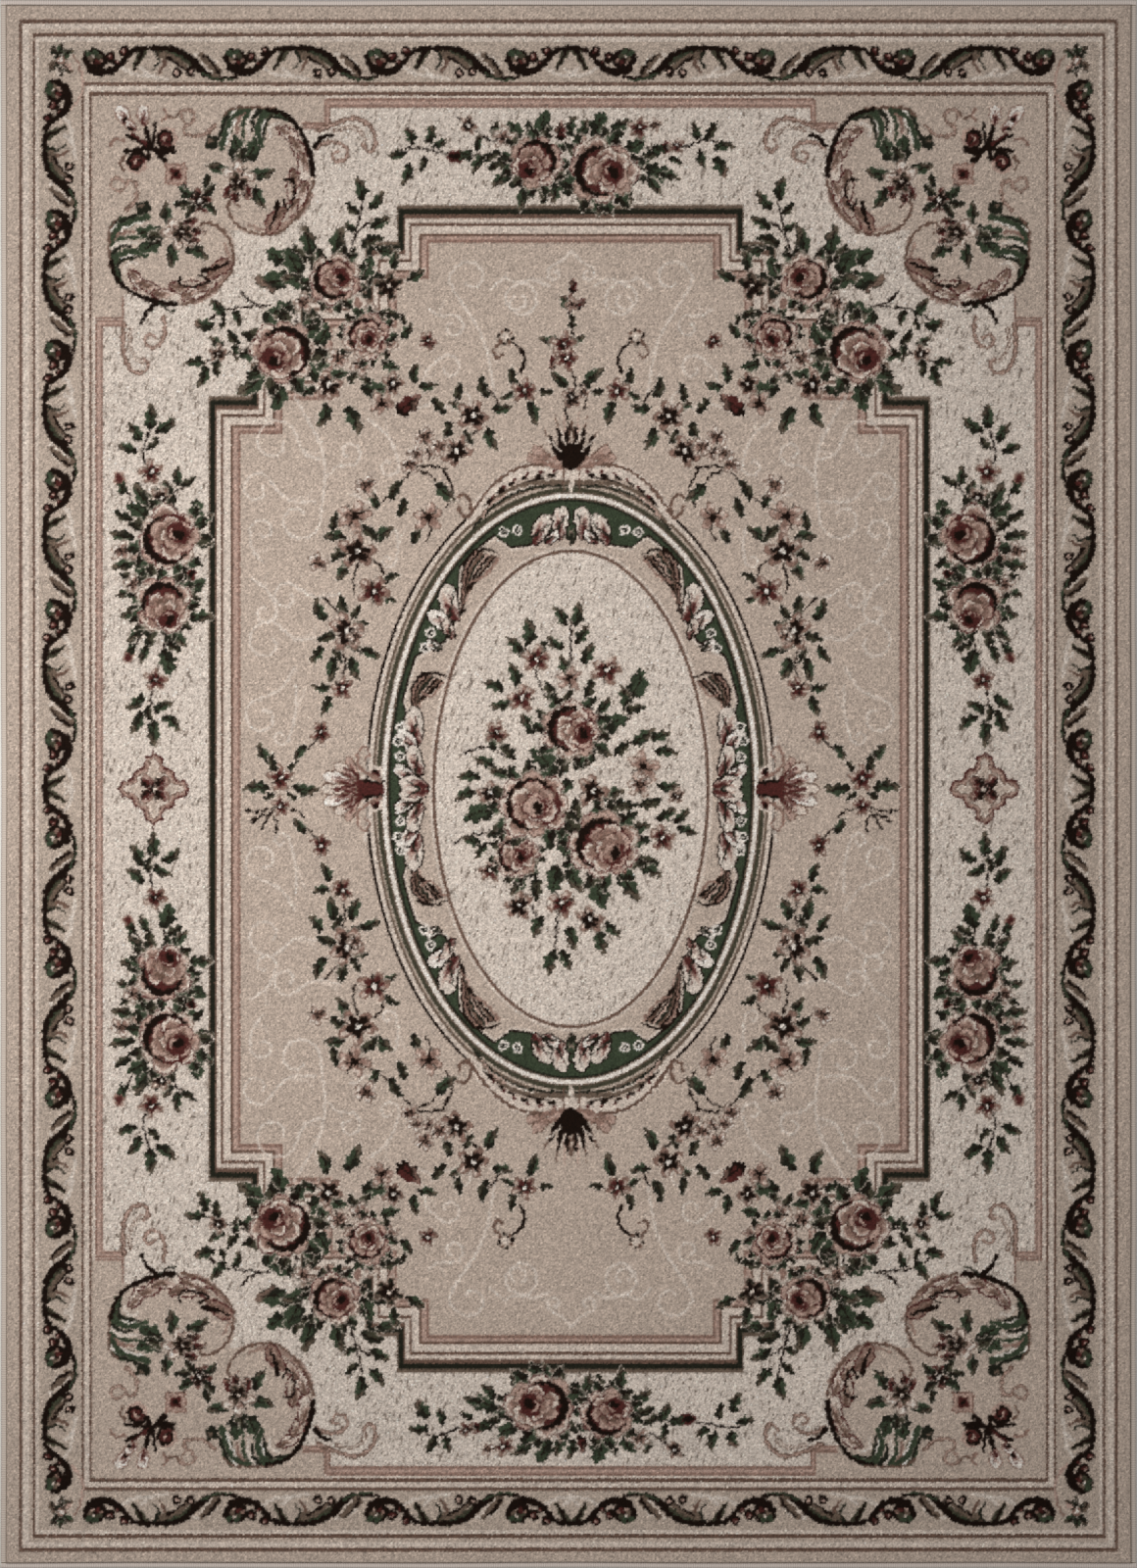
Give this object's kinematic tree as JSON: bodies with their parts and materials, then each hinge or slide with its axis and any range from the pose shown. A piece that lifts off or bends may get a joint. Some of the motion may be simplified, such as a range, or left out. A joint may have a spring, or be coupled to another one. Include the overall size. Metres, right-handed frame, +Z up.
{
  "type": "woven pile area rug",
  "caption": "Flat rectangular woven pile rug with overcast edges, an oval floral medallion and a leaf border.",
  "frame": {"origin": "centre of the rug's outline, on the floor under it", "axes": "+X across the width, +Y along the length, +Z up out of the pile"},
  "size_m": [1.6, 2.21, 0.01],
  "materials": {
    "pile": "cut pile, matt",
    "overcast_yarn": "wound yarn, matt"
  },
  "bodies": {
    "root": {"rug_body": "pile", "overcast_side_left": "overcast_yarn", "overcast_side_right": "overcast_yarn", "overcast_end_top": "overcast_yarn", "overcast_end_bottom": "overcast_yarn"}
  },
  "joints": []
}
